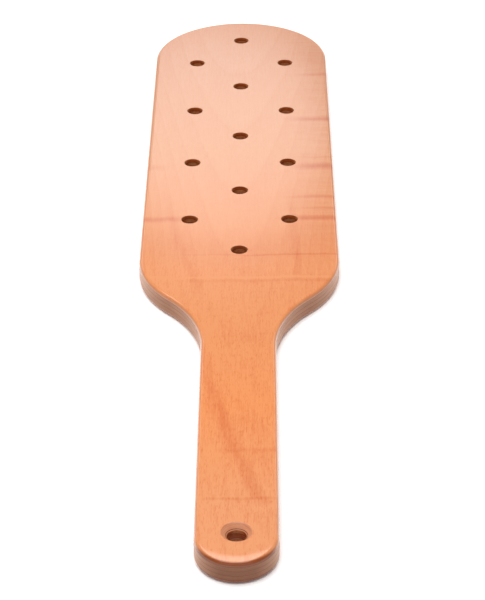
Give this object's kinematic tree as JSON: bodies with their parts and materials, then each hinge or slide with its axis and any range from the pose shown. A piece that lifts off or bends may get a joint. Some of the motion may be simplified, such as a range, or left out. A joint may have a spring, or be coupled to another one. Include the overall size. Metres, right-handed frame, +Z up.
{
  "type": "drilled wooden paddle bat",
  "caption": "Flat wooden paddle bat laminated from cross-banded veneers, with a drilled blade, round head, sloping shoulders and an integral handle with a countersunk hanging hole.",
  "frame": {"origin": "centre of the overall box in plan, on the flat back face that the paddle lies on", "axes": "+Y along the paddle from the handle's end to the head, +X to the right seen from above, +Z up out of the front face"},
  "size_m": [0.0944, 0.509, 0.01],
  "materials": {
    "face_veneer": "satin clear lacquer",
    "cross_grain_veneer": "satin clear lacquer",
    "long_grain_veneer": "satin clear lacquer"
  },
  "bodies": {
    "root": {"front_face_veneer": "face_veneer", "front_crossband": "cross_grain_veneer", "core_veneer": "long_grain_veneer", "back_crossband": "cross_grain_veneer", "back_face_veneer": "face_veneer"}
  },
  "joints": []
}
